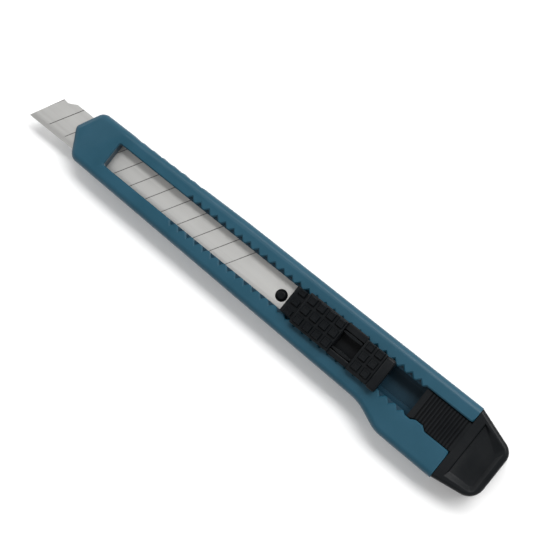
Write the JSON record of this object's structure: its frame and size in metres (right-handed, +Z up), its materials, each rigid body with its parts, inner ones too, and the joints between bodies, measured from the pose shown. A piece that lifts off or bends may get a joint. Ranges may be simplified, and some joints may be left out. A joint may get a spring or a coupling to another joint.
{
  "type": "snap off knife",
  "caption": "Flat snap off knife: segmented blade on a locking thumb slider in a notched handle, with a latched end cap.",
  "frame": {"origin": "on the flat back face, halfway between the blade's tip and the cap's end and midway across the widest part of the handle, with the blade out as stored", "axes": "+X along the handle from the blade to the cap, +Y across the handle towards the blade's spine, +Z up from the flat back to the slider's face"},
  "size_m": [0.1382, 0.0194, 0.0106],
  "materials": {
    "handle_plastic": "fine matt moulding",
    "blade_steel": "ground",
    "black_plastic": "fine matt moulding",
    "cap_plastic": "satin moulding"
  },
  "bodies": {
    "handle": {"handle_body": "handle_plastic"},
    "slider": {"blade": "blade_steel", "slider_carriage": "black_plastic", "thumb_pad": "black_plastic", "lock_spring": "black_plastic"},
    "cap": {"end_cap": "cap_plastic", "cap_latch": "cap_plastic"}
  },
  "joints": [
    {"name": "blade_slide", "type": "slide", "parent": "handle", "child": "slider", "axis": [-1, 0, 0], "range_m": [-0.0125, 0.05], "deforming": ["lock_spring"]},
    {"name": "cap_pull", "type": "slide", "parent": "handle", "child": "cap", "axis": [1, 0, 0], "range_m": [0, 0.025], "deforming": ["cap_latch"]}
  ]
}
